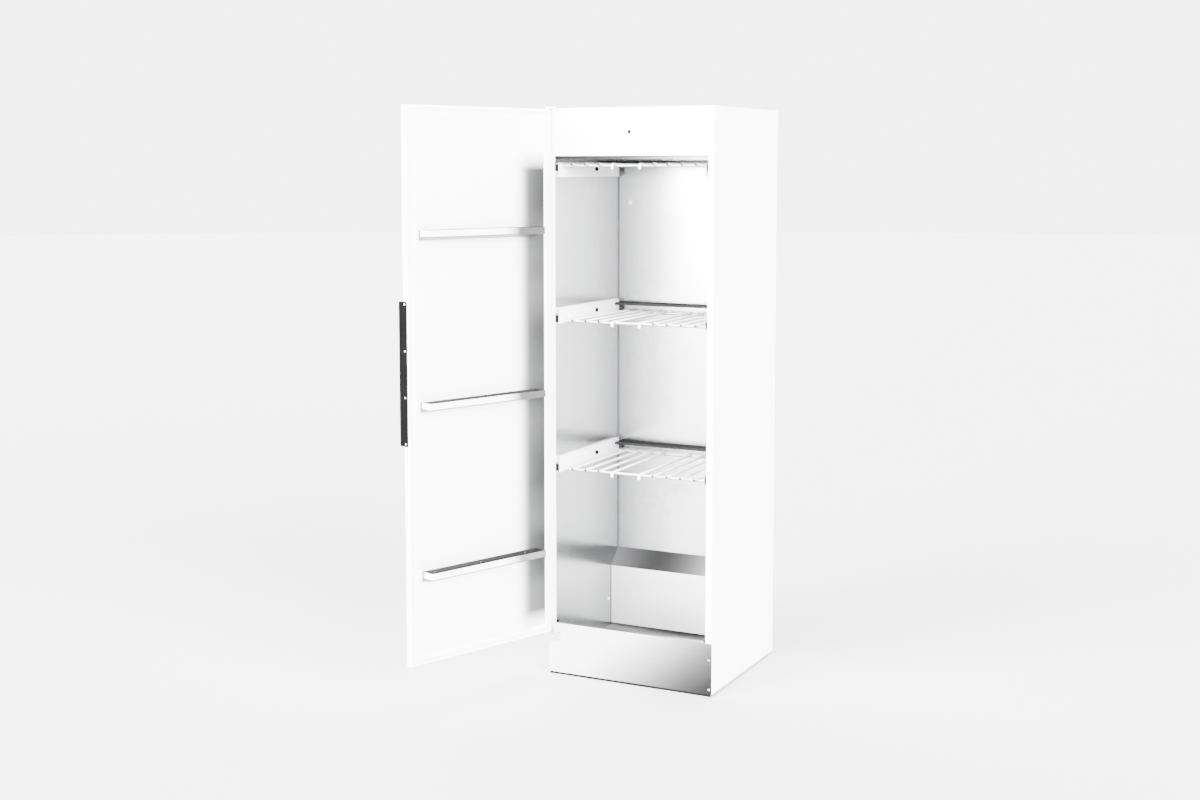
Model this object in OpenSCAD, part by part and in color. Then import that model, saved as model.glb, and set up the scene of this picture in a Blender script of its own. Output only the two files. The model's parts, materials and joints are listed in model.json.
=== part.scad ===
// Drying cabinet: a tall single-door cabinet with three pull-out hanging racks, mitten troughs
// on the door, a rear warm-air duct and a fan unit in the top compartment.
// Units are millimetres. Origin: on the floor under the centre of the casing, front towards -Y.
// Inside the modules X runs from the casing's left side, Y from its front and Z from the floor.

/* [Casing] */
// Width of the casing
body_w = 595; // [560:1:700]
// Depth of the casing without the door
body_d = 560; // [540:1:640]
// Height of the casing above the floor
body_h = 1900; // [1860:5:2000]
// Thickness of the outer sheet metal
sheet_t = 1.2; // [1:0.1:1.5]
// Width of the front jambs, which is also the depth of the side walls
jamb_w = 22; // [20:1:24]
// Depth of the rim that is folded in behind each jamb
jamb_fold = 12; // [8:1:14]
// Width of the flanges folded in at the rear edges
rear_flange = 15; // [12:1:18]
// Height of the fascia over the door opening
fascia_h = 155.5; // [150:0.5:165]
// Height of the ceiling above the top edge of the opening
ceiling_rise = 15; // [12:1:18]

/* [Base] */
// Height of the levelling feet under the casing
foot_h = 8; // [6:1:14]
// Radius of a foot's pad
foot_r = 16; // [12:1:18]
// Radius of a foot's threaded stud
stud_r = 4; // [3:0.5:5]
// Distance of each foot from the two nearest sides of the casing
foot_inset = 42; // [36:1:60]
// Height of the plinth panel
plinth_h = 169; // [150:1:180]
// Depth of the plinth's box section
plinth_d = 20; // [18:1:22]
// Thickness of the base tray
tray_t = 1.5; // [1.2:0.1:2]
// Height of the base tray's folded sides
tray_rim = 25; // [18:1:30]

/* [Cavity] */
// Thickness of the metal lining
liner_t = 1; // [0.8:0.1:1.2]
// Height of the cavity floor
floor_z = 62; // [55:1:70]
// Depth of the warm-air duct behind the rear lining
duct_d = 70; // [60:1:80]
// How far the lower duct cover stands in front of the rear lining
cover_d = 60; // [50:1:70]
// Height of the cover's upright face
cover_h = 280; // [260:1:300]
// Height that the cover's sloping face gains
cover_rise = 57; // [50:1:70]
// Height of the slot under the cover that lets the warm air out over the floor
air_slot = 8; // [6:1:12]

/* [Door] */
// Width of the door
door_w = 593.5; // [592:0.5:595]
// Thickness of the door
door_t = 20; // [18:1:22]
// Thickness of the door's sheet metal
door_sheet = 1; // [0.8:0.1:1.2]
// Gap between the closed door and the casing
door_gap = 2; // [1.5:0.1:2.5]
// How far the door overhangs the casing on the hinge side
door_over = 1; // [0.5:0.5:1.5]
// Height of the door's lower edge
door_low = 150; // [145:1:160]
// Gap between the door's upper edge and the top of the casing
door_drop = 3; // [3:0.5:6]
// Width of the white rim around the door's metal lining
door_rim = 28; // [24:1:32]
// How far the lining reaches behind the rim
door_lap = 14; // [10:1:18]
// Radius of the door's upright edges
door_round = 2; // [1:0.5:2]
// Angle at which the door stands open
door_open = 109.5; // [90:0.5:115]

/* [Hinges and gasket] */
// Distance of the hinge axis from the casing's left side
hinge_x = 4; // [3.5:0.5:5]
// Radius of a hinge pin
pin_r = 2.5; // [2:0.1:2.5]
// Length of a hinge pin
pin_l = 18; // [14:1:20]
// Radial running clearance of pins and rollers
run_gap = 0.05; // [0.03:0.01:0.08]
// Outer radius of a hinge bush
bush_r = 3.9; // [3.6:0.1:4]
// Length of a hinge bush inside the door
bush_l = 15; // [12:1:15]
// Thickness of a bush's collar
collar_t = 1.5; // [1:0.1:1.6]
// Thickness of the hinge brackets
bracket_t = 3; // [2.5:0.5:4]
// Width of the hinge brackets
bracket_w = 43; // [40:1:50]
// Height of the lower bracket's upright leg
bracket_leg = 36; // [30:1:40]
// Depth of the upper bracket on the top panel
bracket_d = 40; // [35:1:50]
// Width of the door gasket
gasket_w = 10; // [8:1:10]
// Distance of the gasket from the door's edges
gasket_inset = 6.5; // [6:0.5:7]
// Gap between the gasket and the casing when the door is shut
seal_gap = 0.3; // [0.3:0.05:0.4]

/* [Handle] */
// Length of the handle strip
handle_l = 450; // [350:5:500]
// Thickness of the handle strip
handle_t = 3; // [2.5:0.5:4]
// How far the handle reaches out in front of the door
handle_reach = 17; // [14:1:25]
// Height of the handle's lower end
handle_z = 847; // [800:1:900]
// Distance of the outer screws from the handle's ends
screw_margin = 8.5; // [7:0.5:12]
// Radius of a screw's shank
screw_r = 1.9; // [1.5:0.1:2]
// Radius of a screw's head
screw_head_r = 3.4; // [3:0.1:4]

/* [Door troughs] */
// Distance of the top trough's upper edge from the door's upper edge
trough_under = 382; // [360:1:400]
// Distance from one trough to the next
trough_pitch = 534; // [500:1:545]
// Distance of the troughs from the door's hinge edge
trough_start = 69; // [60:1:90]
// Length of a trough
trough_l = 475; // [400:5:480]
// Depth of a trough
trough_d = 52; // [40:1:54]
// Height of a trough's back plate
trough_h = 32; // [28:1:40]
// Height of a trough's front lip
trough_lip = 22; // [16:1:24]
// Thickness of the troughs' sheet metal
trough_t = 1; // [0.8:0.1:1.2]

/* [Racks] */
// Distance of the top runners' axis from the top edge of the opening
rack_under = 35.5; // [34:0.5:45]
// Distance from one rack to the next
rack_pitch = 500; // [485:0.5:503]
// Height of the rods under the runners' axis, which is over it on the turned top rack
rod_offset = 7.5; // [7:0.1:8]
// Distance that a rack pulls out
rack_travel = 230; // [180:5:230]
// Radius of a hanging rod
rod_r = 4.5; // [4:0.1:5]
// Distance between neighbouring rods
rod_pitch = 49.2; // [45:0.1:49.6]
// Number of rod places side by side
rod_places = 10; // [8:1:10]
// Rod place that stays empty, counted from 0
rod_empty = 4; // [2:1:6]
// Distance of the rod tips from the casing's front
rod_tip = 27; // [25:1:32]
// Gap between the rods' rear ends and the rear lining
rod_rear_gap = 32; // [30:1:45]
// Distance of the front cross bar from the rod tips
bar_setback = 20; // [15:1:25]
// Radius of the cross bars
bar_r = 4; // [3.5:0.1:4.5]
// Radius of the bend at the two hooked rods' tips, on the rod's axis
hook_bend = 7; // [6:0.5:9]
// Length of a hook's straight end
hook_drop = 8; // [4:1:12]
// Radius of the end plugs' heads
plug_r = 3.9; // [3:0.1:4]
// Radius of the end plugs' stems
stem_r = 2.5; // [2:0.1:3]
// Thickness of the rails' sheet metal
rail_t = 1.2; // [1:0.1:1.4]
// Gap between a rack's side rails and the rear lining
rail_rear_gap = 25; // [25:1:40]
// Reach of the side rails from the runners' axis on the side away from the rods
rail_far = 33; // [28:1:34]
// Reach of the side rails from the runners' axis on the rods' side
rail_near = 19; // [17:1:22]
// Radius of the stop knob on each side rail
knob_r = 7; // [5:0.5:8]
// Length of the stop knobs
knob_l = 6; // [4:0.5:8]

/* [Runners] */
// Radius of a roller
roller_r = 11; // [9:0.5:11]
// Width of a roller
roller_w = 7.5; // [6:0.5:7.5]
// Radius of a roller's axle
axle_r = 2.5; // [2:0.1:3]
// Distance of the front rollers from the casing's front
front_roller_y = 26; // [25:1:30]
// Gap left between a runner's two rollers when the rack is pulled out
roller_space = 18; // [8:1:40]
// Half the height of a runner's channel
channel_half = 14; // [14:0.5:15]
// Depth of a runner's channel
channel_d = 11; // [10.5:0.1:11.2]
// Gap between the runners and the rear lining
runner_rear_gap = 20; // [18:1:24]
// Gap left between rolling and sliding surfaces
slide_gap = 0.3; // [0.3:0.05:0.4]

/* [Rear rails] */
// Depth of the hold-down rails on the rear lining
hold_d = 62; // [50:1:62]
// Height of the hold-down rails
hold_h = 9; // [7:0.5:12]
// Height of a hold-down rail's lower edge above the runners' axis
hold_rise = 13.5; // [13:0.5:16]

/* [Fan unit] */
// Radius of the fan housing
fan_r = 125; // [115:1:130]
// Height of the fan housing
fan_h = 92; // [85:1:95]
// Thickness of the housing's walls
fan_wall = 1.5; // [1.2:0.1:2]
// Distance of the fan's axis from the casing's front
fan_y = 235; // [225:1:245]
// Radius of the impeller
wheel_r = 95; // [85:1:100]
// Number of impeller blades
blades = 24; // [16:1:30]
// Length of a blade
blade_l = 26; // [20:1:30]
// Height of the blades
blade_h = 56; // [45:1:60]
// Radius of the motor
motor_r = 38; // [32:1:42]
// Height of the motor
motor_h = 34; // [28:1:36]
// Radius of the motor shaft
shaft_r = 4; // [3:0.5:5]
// Width of the air outlet
outlet_w = 112; // [100:1:118]
// Radius of a heater rod
heater_r = 4; // [3:0.5:5]

/* [Services] */
// Radius of the exhaust opening
exhaust_r = 62.5; // [50:0.5:75]
// Distance of the exhaust's axis from the casing's rear
exhaust_back = 130; // [120:1:140]
// Height of the exhaust collar above the top panel
collar_up = 8; // [6:1:12]
// Depth of the exhaust collar below the top panel
collar_down = 40; // [30:1:45]
// Radius of the cable entry's bore
gland_r = 4; // [3:0.5:5]
// Distance of the cable entry from the casing's right side
gland_side = 105; // [95:1:120]
// Distance of the cable entry from the casing's rear
gland_back = 60; // [50:1:75]
// Radius of the start button
button_r = 4.5; // [4:0.1:6]
// Distance of the start button from the top of the casing
button_under = 79; // [70:1:95]
// Travel of the start button
button_travel = 1.5; // [1:0.1:2]
// Distance between the two wall-fixing holes
fixing_pitch = 457; // [400:1:480]
// Distance of the wall-fixing holes from the top of the casing
fixing_under = 315; // [300:1:340]
// Radius of the wall-fixing holes
fixing_r = 4; // [3:0.5:5]

/* [Hidden] */
$fn = 48;

// overlap that makes a cut come out cleanly
eps = 0.01;
// heights on the casing
plinth_top = foot_h + plinth_h;
opening_top = body_h - fascia_h;
ceiling_z = opening_top + ceiling_rise;
tray_top = foot_h + tray_t;
// depths in the casing
back_y = body_d - sheet_t;
liner_y = body_d - duct_d;
cover_y = liner_y - cover_d;
// the three levels of racks and of troughs
LOW = 0;
MID = 1;
TOP = 2;
LEVELS = [LOW, MID, TOP];
function rack_level(i) = opening_top - rack_under - (TOP - i) * rack_pitch;
// the top rack is the same rack turned over, with its rods above the runners' axis
function turned(i) = i == TOP;
function rod_level(i) = rack_level(i) + (turned(i) ? rod_offset : -rod_offset);
// the door in its closed place
door_x0 = -door_over;
door_x1 = door_x0 + door_w;
door_in = -door_gap;
door_out = -door_gap - door_t;
door_top = body_h - door_drop;
function trough_level(i) = door_top - trough_under - (TOP - i) * trough_pitch;
hinge_y = -door_gap - door_t / 2;
panel_face = door_in - door_sheet;
// the runners
rail_x = jamb_w + channel_d + slide_gap + 0.7;
roller_x0 = jamb_w + rail_t + 1.3;
roller_drop = channel_half - rail_t - slide_gap - roller_r;
flange_z = roller_r - roller_drop + slide_gap;
rail_front = 12;
rail_rear = liner_y - rail_rear_gap;
rod_rear = liner_y - rod_rear_gap;
runner_front = rail_front + 2;
runner_rear = liner_y - runner_rear_gap;
rear_roller_y = front_roller_y + 2 * roller_r + roller_space + rack_travel;
fan_x = body_w / 2;
fixing_z = body_h - fixing_under;
fan_floor = ceiling_z + liner_t;
button_z = body_h - button_under;

// ---- placing ----

module casing() {
    translate([-body_w / 2, -body_d / 2, 0]) children();
}

// turns what is drawn at the closed door's place to where the open door stands
module opened() {
    casing() translate([hinge_x, hinge_y, 0]) rotate([0, 0, -door_open])
        translate([-hinge_x, -hinge_y, 0]) children();
}

// draws its child on the left wall and mirrored on the right wall
module both_sides() {
    children();
    translate([body_w, 0, 0]) mirror([1, 0, 0]) children();
}

module box(low, high) {
    translate(low) cube(high - low);
}

// a cylinder from point p along X, Y or Z
module rod_x(p, r, l) {
    translate(p) rotate([0, 90, 0]) cylinder(r = r, h = l);
}

module rod_y(p, r, l) {
    translate(p) rotate([-90, 0, 0]) cylinder(r = r, h = l);
}

module rod_z(p, r, l) {
    translate(p) cylinder(r = r, h = l);
}

// a solid of the outline drawn in Y and Z, reaching from x0 to x1
module along_x(x0, x1) {
    translate([x0, 0, 0]) rotate([90, 0, 90]) linear_extrude(x1 - x0) children();
}

module rounded_square(low, high, r) {
    translate([low[0] + r, low[1]]) square([high[0] - low[0] - 2 * r, high[1] - low[1]]);
    translate([low[0], low[1] + r]) square([high[0] - low[0], high[1] - low[1] - 2 * r]);
    for (x = [low[0] + r, high[0] - r], y = [low[1] + r, high[1] - r])
        translate([x, y]) circle(r);
}

// ---- casing ----

module side_sheet() {
    // the outer sheet, the jamb with its folded rim and the rear flange
    box([0, 0, plinth_top], [jamb_w, sheet_t, body_h]);
    box([jamb_w - sheet_t, 0, plinth_top], [jamb_w, jamb_fold, body_h - sheet_t]);
    box([0, 0, plinth_top], [sheet_t, back_y, body_h]);
    box([0, sheet_t, foot_h], [sheet_t, back_y, plinth_top + eps]);
    box([0, back_y - sheet_t, foot_h], [rear_flange, back_y, body_h - sheet_t]);
    // the flange behind the plinth panel that its screws hold
    box([0, sheet_t, foot_h], [2 * screw_edge, 2 * sheet_t, plinth_top - sheet_t]);
}

module left_side_panel() {
    backing_t = 2.5;
    color("white") casing() difference() {
        union() {
            side_sheet();
            box([0, sheet_t, lower_plate_z - bracket_leg], [bracket_w, sheet_t + backing_t, lower_plate_z]);
        }
        for (p = plinth_screw_places) rod_y([p[0], 0, p[1]], screw_r, 4);
        for (p = bracket_screw_places) rod_y([p[0], 0, p[1]], screw_r, 6);
    }
}

module right_side_panel() {
    color("white") casing() difference() {
        translate([body_w, 0, 0]) mirror([1, 0, 0]) side_sheet();
        for (p = plinth_screw_places) rod_y([p[0], 0, p[1]], screw_r, 4);
    }
}

exhaust_y = body_d - exhaust_back;
gland_x = body_w - gland_side;
gland_y = body_d - gland_back;

module top_panel() {
    fold = 14;
    color("white") casing() difference() {
        union() {
            box([sheet_t, sheet_t, body_h - sheet_t], [body_w - sheet_t, back_y, body_h]);
            box([jamb_w, sheet_t, body_h - fold], [body_w - jamb_w, 2 * sheet_t, body_h]);
            box([rear_flange, back_y - sheet_t, body_h - fold], [body_w - rear_flange, back_y, body_h]);
        }
        rod_z([fan_x, exhaust_y, body_h - collar_down], exhaust_r + sheet_t, 2 * collar_down);
        rod_z([gland_x, gland_y, body_h - 10], gland_body_r, 20);
        for (p = top_screw_places) rod_z([p[0], p[1], body_h - 4], screw_r, 6);
    }
}

module back_panel() {
    louvre_x = 150;
    louvre_w = 120;
    louvre_h = 5;
    louvre_pitch = 12;
    louvre_z = ceiling_z + 30;
    color("gainsboro") casing() difference() {
        box([0, back_y, foot_h], [body_w, body_d, body_h]);
        for (side = [-1, 1])
            rod_y([fan_x + side * fixing_pitch / 2, back_y - 1, fixing_z], fixing_r, 4);
        for (row = [0 : 5], side = [-1, 1])
            translate([fan_x + side * louvre_x - louvre_w / 2, back_y - 1, louvre_z + row * louvre_pitch])
                cube([louvre_w, sheet_t + 2, louvre_h]);
    }
}

module foot_places() {
    for (x = [foot_inset, body_w - foot_inset], y = [foot_inset, body_d - foot_inset])
        translate([x, y, 0]) children();
}

module base_tray() {
    color("silver") casing() difference() {
        union() {
            box([sheet_t, plinth_d + 1, foot_h], [body_w - sheet_t, back_y - sheet_t, tray_top]);
            both_sides()
                box([sheet_t, plinth_d + 1, foot_h],
                    [sheet_t + tray_t, back_y - sheet_t, foot_h + tray_rim]);
            box([sheet_t, plinth_d + 1, foot_h],
                [body_w - sheet_t, plinth_d + 1 + tray_t, foot_h + tray_rim]);
        }
        foot_places() translate([0, 0, foot_h - 1]) cylinder(r = stud_r + 0.3, h = 4);
    }
}

module adjustable_feet() {
    nut_h = 5;
    stud_l = 24;
    color("dimgray") casing() foot_places() {
        cylinder(r = foot_r, h = foot_h);
        translate([0, 0, foot_h - eps]) cylinder(r = stud_r, h = stud_l);
        translate([0, 0, tray_top]) cylinder(r = 1.7 * stud_r, h = nut_h, $fn = 6);
    }
}

module fascia() {
    lip = 14;
    color("white") casing() difference() {
        union() {
            box([jamb_w, 0, opening_top], [body_w - jamb_w, sheet_t, body_h]);
            box([jamb_w, 0, opening_top], [body_w - jamb_w, lip, opening_top + sheet_t]);
            box([jamb_w, lip - sheet_t, opening_top], [body_w - jamb_w, lip, ceiling_z]);
        }
        rod_y([fan_x, -1, button_z], bezel_r, 4);
    }
}

module plinth_panel() {
    color("silver") casing() difference() {
        union() {
            box([0, 0, foot_h], [body_w, sheet_t, plinth_top]);
            box([sheet_t, 0, plinth_top - sheet_t], [body_w - sheet_t, plinth_d, plinth_top]);
            box([sheet_t, plinth_d, floor_z - liner_t], [body_w - sheet_t, plinth_d + 1, plinth_top]);
        }
        for (p = plinth_screw_places) rod_y([p[0], -1, p[1]], screw_r, 4);
        for (p = bracket_screw_places) rod_y([p[0], -1, p[1]], screw_r, 4);
    }
}

screw_edge = 9;
screw_low_z = foot_h + 16;
screw_high_z = plinth_top - 55;
plinth_screw_places = [
    [screw_edge, screw_low_z], [body_w - screw_edge, screw_low_z], [body_w - screw_edge, screw_high_z]
];
bracket_screw_z = door_low - 24;
bracket_screw_places = [[16, bracket_screw_z], [36, bracket_screw_z]];
top_screw_x = jamb_w + 8;
top_screw_places = [[top_screw_x, 12], [top_screw_x, 30]];
runner_screw_places = [46, runner_rear - 50];

module casing_screws() {
    head_h = 1.5;
    shank_l = 8;
    color("silver") casing() {
        for (p = plinth_screw_places) {
            rod_y([p[0], -head_h, p[1]], screw_head_r, head_h);
            rod_y([p[0], -eps, p[1]], screw_r, shank_l);
        }
        for (p = bracket_screw_places) {
            rod_y([p[0], -bracket_t - head_h, p[1]], screw_head_r, head_h);
            rod_y([p[0], -bracket_t - eps, p[1]], screw_r, shank_l + bracket_t);
        }
        for (p = top_screw_places) {
            rod_z([p[0], p[1], body_h + bracket_t], screw_head_r, head_h);
            rod_z([p[0], p[1], body_h + bracket_t + eps - shank_l], screw_r, shank_l);
        }
        for (i = LEVELS, y = runner_screw_places) both_sides() {
            rod_x([jamb_w + rail_t, y, rack_level(i)], screw_head_r, rail_t);
            rod_x([jamb_w + rail_t + eps - shank_l, y, rack_level(i)], screw_r, shank_l);
        }
    }
}

// ---- lining of the cavity ----

module wall_liner() {
    difference() {
        union() {
            box([jamb_w - liner_t, jamb_fold, plinth_top], [jamb_w, liner_y + liner_t, ceiling_z + liner_t]);
            box([jamb_w - liner_t, plinth_d + 1, floor_z - liner_t],
                [jamb_w, liner_y + liner_t, plinth_top + eps]);
        }
        for (i = LEVELS, y = runner_screw_places)
            rod_x([jamb_w - 3, y, rack_level(i)], screw_r, 5);
    }
}

module liner_left() {
    color("lightgray") casing() wall_liner();
}

module liner_right() {
    color("lightgray") casing() translate([body_w, 0, 0]) mirror([1, 0, 0]) wall_liner();
}

stopper_r = 6;

module liner_back() {
    color("lightgray") casing() difference() {
        box([jamb_w, liner_y, cover_h + cover_rise], [body_w - jamb_w, liner_y + liner_t, ceiling_z]);
        for (side = [-1, 1])
            rod_y([fan_x + side * fixing_pitch / 2, liner_y - 1, fixing_z], stopper_r, 4);
    }
}

module fixing_plugs() {
    rim_r = 8;
    rim_t = 1.5;
    color("white") casing() for (side = [-1, 1]) {
        rod_y([fan_x + side * fixing_pitch / 2, liner_y - rim_t, fixing_z], rim_r, rim_t);
        rod_y([fan_x + side * fixing_pitch / 2, liner_y - eps, fixing_z], stopper_r, 5);
    }
}

module liner_ceiling() {
    color("lightgray") casing() difference() {
        box([jamb_w, jamb_fold + 2 - sheet_t, ceiling_z], [body_w - jamb_w, back_y, fan_floor]);
        rod_z([fan_x, fan_y, ceiling_z - 1], inlet_r, 4);
        box([outlet_x0 + fan_wall, liner_y + liner_t + 1, ceiling_z - 1],
            [outlet_x1 - fan_wall, back_y - fan_wall, fan_floor + 1]);
    }
}

inlet_r = 75;
grille_r = inlet_r + 15;

module ceiling_grille() {
    slot_gap = 14;
    slot_w = 6;
    grille_t = 1.5;
    color("gainsboro") casing() difference() {
        rod_z([fan_x, fan_y, ceiling_z - grille_t], grille_r, grille_t);
        for (k = [-4 : 4]) {
            half = sqrt(pow(inlet_r - 5, 2) - pow(k * slot_gap, 2));
            box([fan_x - half, fan_y + k * slot_gap - slot_w / 2, ceiling_z - 3],
                [fan_x + half, fan_y + k * slot_gap + slot_w / 2, ceiling_z + 1]);
        }
    }
}

module floor_tray() {
    color("lightgray") casing() {
        box([jamb_w, plinth_d + 1, floor_z - liner_t], [body_w - jamb_w, back_y, floor_z]);
        both_sides()
            box([jamb_w, plinth_d + 4, tray_top], [jamb_w + liner_t, back_y - sheet_t, floor_z]);
    }
}

// it ends over the floor, so the warm air comes out along its lower edge
module lower_duct_cover() {
    low = floor_z + air_slot;
    top = cover_h + cover_rise;
    color("gray") casing() along_x(jamb_w, body_w - jamb_w) polygon([
        [cover_y, low], [cover_y + liner_t, low], [cover_y + liner_t, cover_h - liner_t / 2],
        [liner_y + liner_t, top - liner_t / 2], [liner_y + liner_t, top], [liner_y, top], [cover_y, cover_h]
    ]);
}

module rear_duct_walls() {
    color("silver") casing() both_sides()
        box([jamb_w, liner_y + liner_t, floor_z], [jamb_w + liner_t, back_y, ceiling_z]);
}

// ---- hinges ----

module bracket_ear(low, high) {
    ear_r = 6.5;
    translate([0, 0, low]) linear_extrude(high - low) {
        translate([hinge_x, hinge_y]) circle(r = ear_r);
        translate([hinge_x, hinge_y - ear_r]) square([bracket_w - 6, ear_r - hinge_y]);
        translate([hinge_x - ear_r, hinge_y]) square([bracket_w, -hinge_y]);
    }
}

lower_plate_z = door_low - 2;

module lower_hinge_bracket() {
    color("silver") casing() difference() {
        union() {
            bracket_ear(lower_plate_z - bracket_t, lower_plate_z);
            box([hinge_x - 2, -bracket_t, lower_plate_z - bracket_leg], [bracket_w, 0, lower_plate_z]);
            rod_z([hinge_x, hinge_y, lower_plate_z - eps], pin_r, pin_l);
        }
        for (p = bracket_screw_places) rod_y([p[0], -bracket_t - 1, p[1]], screw_r, bracket_t + 2);
    }
}

module upper_hinge_bracket() {
    color("silver") casing() difference() {
        union() {
            bracket_ear(body_h, body_h + bracket_t);
            box([hinge_x - 4, -1, body_h], [bracket_w, bracket_d, body_h + bracket_t]);
            rod_z([hinge_x, hinge_y, body_h + eps - pin_l], pin_r, pin_l);
        }
        for (p = top_screw_places) rod_z([p[0], p[1], body_h - 1], screw_r, bracket_t + 2);
    }
}

// ---- door ----

module door_pan() {
    bush_hole = bush_r;
    color("white") opened() difference() {
        translate([0, 0, door_low]) linear_extrude(door_top - door_low)
            rounded_square([door_x0, door_out], [door_x1, door_in], door_round);
        box([door_x0 + door_sheet, door_out + door_sheet, door_low + door_sheet],
            [door_x1 - door_sheet, panel_face, door_top - door_sheet]);
        box([door_x0 + door_rim, panel_face - 1, door_low + door_rim],
            [door_x1 - door_rim, door_in + 1, door_top - door_rim]);
        for (z = [door_low - 1, door_top - 3]) rod_z([hinge_x, hinge_y, z], bush_hole, 4);
        for (z = handle_screw_heights) rod_x([door_x1 - 3, handle_screw_y, z], screw_r, 4);
    }
}

// the metal lining that shows inside the rim
module door_liner() {
    color("gainsboro") opened() difference() {
        box([door_x0 + door_lap, panel_face - liner_t, door_low + door_lap],
            [door_x1 - door_lap, panel_face, door_top - door_lap]);
        for (i = LEVELS, x = rivet_places)
            rod_y([x, panel_face - liner_t - 1, trough_level(i) - rivet_drop], rivet_r, liner_t + 2);
    }
}

module door_core() {
    edge = door_lap + 2;
    color("wheat") opened()
        box([door_x0 + edge, door_out + door_sheet, door_low + edge],
            [door_x1 - edge, panel_face - liner_t, door_top - edge]);
}

module door_gasket() {
    outer = gasket_inset;
    inner = gasket_inset + gasket_w;
    color("whitesmoke") opened() difference() {
        box([door_x0 + outer, door_in, door_low + outer], [door_x1 - outer, -seal_gap, door_top - outer]);
        box([door_x0 + inner, door_in - 1, door_low + inner], [door_x1 - inner, 1, door_top - inner]);
    }
}

module door_bush() {
    difference() {
        union() {
            cylinder(r = bush_r, h = bush_l);
            translate([0, 0, -collar_t]) cylinder(r = bush_r + 1, h = collar_t);
        }
        translate([0, 0, -collar_t - 1]) cylinder(r = pin_r + run_gap, h = bush_l + 2 * collar_t + 2);
    }
}

module door_bushes() {
    color("ivory") opened() {
        translate([hinge_x, hinge_y, door_low]) door_bush();
        translate([hinge_x, hinge_y, door_top]) mirror([0, 0, 1]) door_bush();
    }
}

handle_screws_n = 4;
handle_screw_y = door_in - 8;
handle_screw_step = (handle_l - 2 * screw_margin) / (handle_screws_n - 1);
handle_screw_heights = [for (i = [0 : handle_screws_n - 1]) handle_z + screw_margin + i * handle_screw_step];

module door_handle() {
    bead = 2;
    corner = 2;
    color("dimgray") opened() difference() {
        union() {
            translate([door_x1, 0, 0]) rotate([90, 0, 90]) linear_extrude(handle_t)
                rounded_square([door_out - handle_reach, handle_z], [door_in, handle_z + handle_l], corner);
            rod_z([door_x1 + handle_t - bead, door_out - handle_reach + bead, handle_z + corner],
                bead, handle_l - 2 * corner);
        }
        for (z = handle_screw_heights) rod_x([door_x1 - 1, handle_screw_y, z], screw_r, handle_t + 2);
    }
}

module handle_screws() {
    head_h = 1.8;
    shank_l = 9;
    color("lightgray") opened() for (z = handle_screw_heights) {
        rod_x([door_x1 + handle_t, handle_screw_y, z], screw_head_r, head_h);
        rod_x([door_x1 + handle_t + eps - shank_l, handle_screw_y, z], screw_r, shank_l);
    }
}

// an open trough of folded sheet, with a closed plate at each end
module trough(i) {
    top = trough_level(i);
    x0 = door_x0 + trough_start;
    y0 = panel_face;
    y1 = panel_face + trough_d;
    outline = [
        [y0, top - trough_h], [y0 + trough_t, top - trough_h], [y1, top - trough_lip], [y1, top],
        [y1 - trough_t, top], [y1 - trough_t, top - trough_lip + trough_t],
        [y0 + trough_t, top - trough_h + trough_t], [y0 + trough_t, top], [y0, top]
    ];
    end = [
        [y0, top - trough_h], [y0 + trough_t, top - trough_h], [y1, top - trough_lip], [y1, top], [y0, top]
    ];
    color("silver") opened() difference() {
        union() {
            along_x(x0, x0 + trough_l) polygon(outline);
            for (x = [x0, x0 + trough_l - trough_t]) along_x(x, x + trough_t) polygon(end);
        }
        for (x = rivet_places) rod_y([x, y0 - 1, top - rivet_drop], rivet_r, trough_t + 2);
    }
}

rivet_r = 2;
rivet_drop = 10;
rivet_places = [for (part = [0.1, 0.5, 0.9]) door_x0 + trough_start + part * trough_l];

// three blind rivets hold each trough to the door's lining
module trough_rivets() {
    head_h = 0.9;
    color("silver") opened() for (i = LEVELS, x = rivet_places) {
        rod_y([x, panel_face + trough_t, trough_level(i) - rivet_drop], 1.8 * rivet_r, head_h);
        rod_y([x, panel_face - liner_t, trough_level(i) - rivet_drop], rivet_r, liner_t + trough_t + eps);
    }
}

// ---- racks ----

module wall_runner(i) {
    level = rack_level(i);
    low = level - (turned(i) ? rail_far : channel_half);
    high = level + (turned(i) ? channel_half : rail_far);
    difference() {
        union() {
            box([jamb_w, runner_front, low], [jamb_w + rail_t, runner_rear, high]);
            for (z = [level - channel_half, level + channel_half - rail_t])
                box([jamb_w, runner_front, z], [jamb_w + channel_d, runner_rear, z + rail_t]);
        }
        for (y = runner_screw_places) rod_x([jamb_w - 1, y, level], screw_r, 3);
    }
    rod_x([jamb_w, front_roller_y, level - roller_drop], axle_r, rail_x - jamb_w - slide_gap);
}

// the plastic end piece of a runner, slotted for the rack's rail to pass
module runner_end_caps() {
    cap_y = 10;
    cut_gap = 0.4;
    color("black") casing() for (i = LEVELS) both_sides() {
        level = rack_level(i);
        difference() {
            box([jamb_w, cap_y, level - channel_half],
                [jamb_w + channel_d, runner_front, level + channel_half]);
            box([roller_x0 - 0.5, cap_y - 1, level + flange_z - cut_gap],
                [jamb_w + channel_d + 1, runner_front + 1, level + flange_z + rail_t + cut_gap]);
        }
    }
}

module wall_runners() {
    color("white") casing() for (i = LEVELS) both_sides() wall_runner(i);
}

module roller() {
    difference() {
        rotate([0, 90, 0]) cylinder(r = roller_r, h = roller_w);
        translate([-1, 0, 0]) rotate([0, 90, 0]) cylinder(r = axle_r + run_gap, h = roller_w + 2);
    }
}

module front_rollers(i) {
    color("black") casing() both_sides()
        translate([roller_x0, front_roller_y, rack_level(i) - roller_drop]) roller();
}

module rear_rollers(i) {
    color("black") casing() both_sides()
        translate([roller_x0, rear_roller_y, rack_level(i) - roller_drop]) roller();
}

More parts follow.
